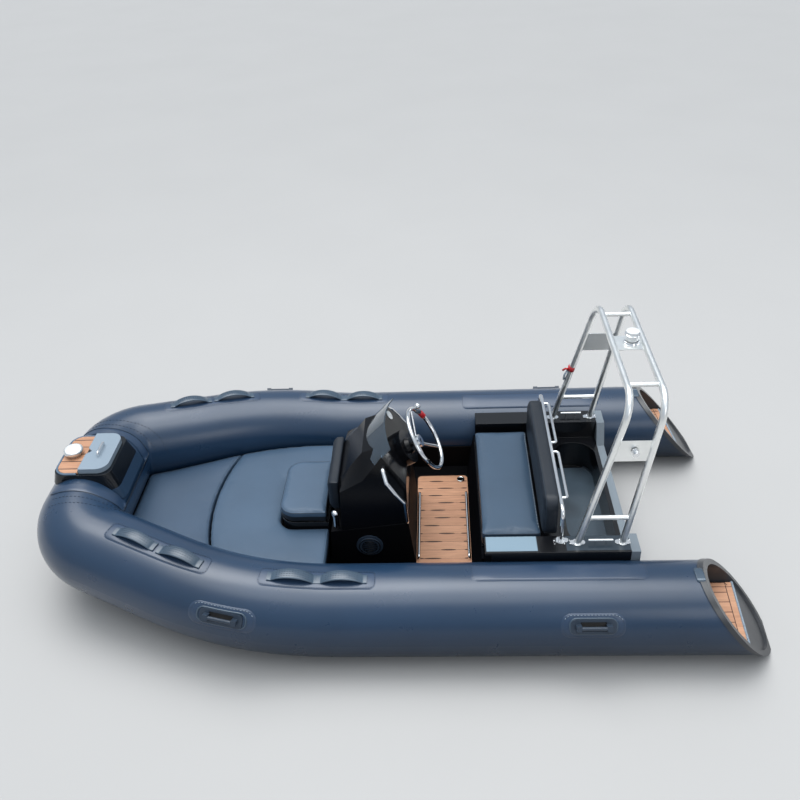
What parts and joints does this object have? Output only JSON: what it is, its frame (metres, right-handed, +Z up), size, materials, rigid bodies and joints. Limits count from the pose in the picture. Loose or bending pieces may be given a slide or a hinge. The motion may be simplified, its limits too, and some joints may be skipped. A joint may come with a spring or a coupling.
{
  "type": "rigid inflatable boat",
  "caption": "Console rigid inflatable boat with fabric tubes, stern cones, cushioned bow, bench with backrest, roll bar and teak boarding step.",
  "frame": {"origin": "on the waterline, amidships, on the boat's centre plane", "axes": "+X to the bow, +Y to port, +Z up; the waterline is Z = 0"},
  "size_m": [3.7896, 1.9706, 1.513],
  "materials": {
    "tube_fabric": "satin charcoal navy coated fabric",
    "hull_gelcoat": "gloss gelcoat",
    "black_gelcoat": "gloss black gelcoat",
    "grey_moulding": "satin moulded rim",
    "teak": "oiled teak with black caulking",
    "cushion_vinyl": "blue-grey marine vinyl",
    "backrest_vinyl": "dark marine vinyl",
    "tinted_screen": "tinted clear plastic",
    "chrome": "polished",
    "steel": "polished stainless steel",
    "lamp": "white plastic",
    "pale_moulding": "gloss pale blue-grey",
    "handle_rubber": "satin moulded rubber"
  },
  "bodies": {
    "boat": {"tube_port": "tube_fabric", "tube_starboard": "tube_fabric", "tube_bow": "tube_fabric", "stern_cap_port": "grey_moulding", "stern_cap_starboard": "grey_moulding", "stern_pad_port": "teak", "stern_pad_starboard": "teak", "hull": "hull_gelcoat", "cockpit_liner": "black_gelcoat", "teak_deck": "teak", "bow_locker": "black_gelcoat", "bow_cushion_main": "cushion_vinyl", "bow_cushion_front": "cushion_vinyl", "seat_box": "black_gelcoat", "console_base": "black_gelcoat", "console_body": "black_gelcoat", "console_front_pad": "backrest_vinyl", "windscreen": "tinted_screen", "console_vents": "handle_rubber", "console_rails": "chrome", "helm_hub": "black_gelcoat", "dash_gauge": "lamp", "corner_fittings": "chrome", "deck_fitting": "chrome", "aft_module": "black_gelcoat", "foot_rails": "chrome", "transom_board": "pale_moulding", "backrest_pad": "backrest_vinyl", "backrest_frame": "chrome", "arch_hoop_fore": "steel", "arch_hoop_aft": "steel", "arch_rungs": "steel", "arch_plates": "steel", "arch_feet": "chrome", "mast_light": "lamp", "side_cleats": "chrome", "bow_step": "grey_moulding", "bow_step_pad": "teak", "bow_bollard": "chrome", "grab_handles_port": "handle_rubber", "grab_handles_starboard": "handle_rubber", "lifting_handles_port": "handle_rubber", "lifting_handles_starboard": "handle_rubber"},
    "wheel": {"steering_wheel": "chrome"},
    "seat": {"seat_lid": "black_gelcoat", "seat_cushion": "cushion_vinyl"},
    "bench_seat": {"bench_lid": "black_gelcoat", "bench_cushion": "cushion_vinyl"},
    "step_hatch": {"bow_step_lid": "pale_moulding", "bow_lid_handle": "chrome"}
  },
  "joints": [
    {"name": "steering", "type": "hinge", "parent": "boat", "child": "wheel", "pos_m": [-0.2062, 0, 0.702], "axis": [-0.866, 0, 0.5], "range_deg": [-540, 540]},
    {"name": "seat_lid_hinge", "type": "hinge", "parent": "boat", "child": "seat", "pos_m": [0.6, 0, 0.2993], "axis": [0, 1, 0], "range_deg": [0, 75]},
    {"name": "bench_lid_hinge", "type": "hinge", "parent": "boat", "child": "bench_seat", "pos_m": [-0.49, 0, 0.3153], "axis": [0, 1, 0], "range_deg": [0, 75]},
    {"name": "step_hatch_hinge", "type": "hinge", "parent": "boat", "child": "step_hatch", "pos_m": [1.654, 0, 0.6573], "axis": [0, 1, 0], "range_deg": [0, 85]}
  ]
}
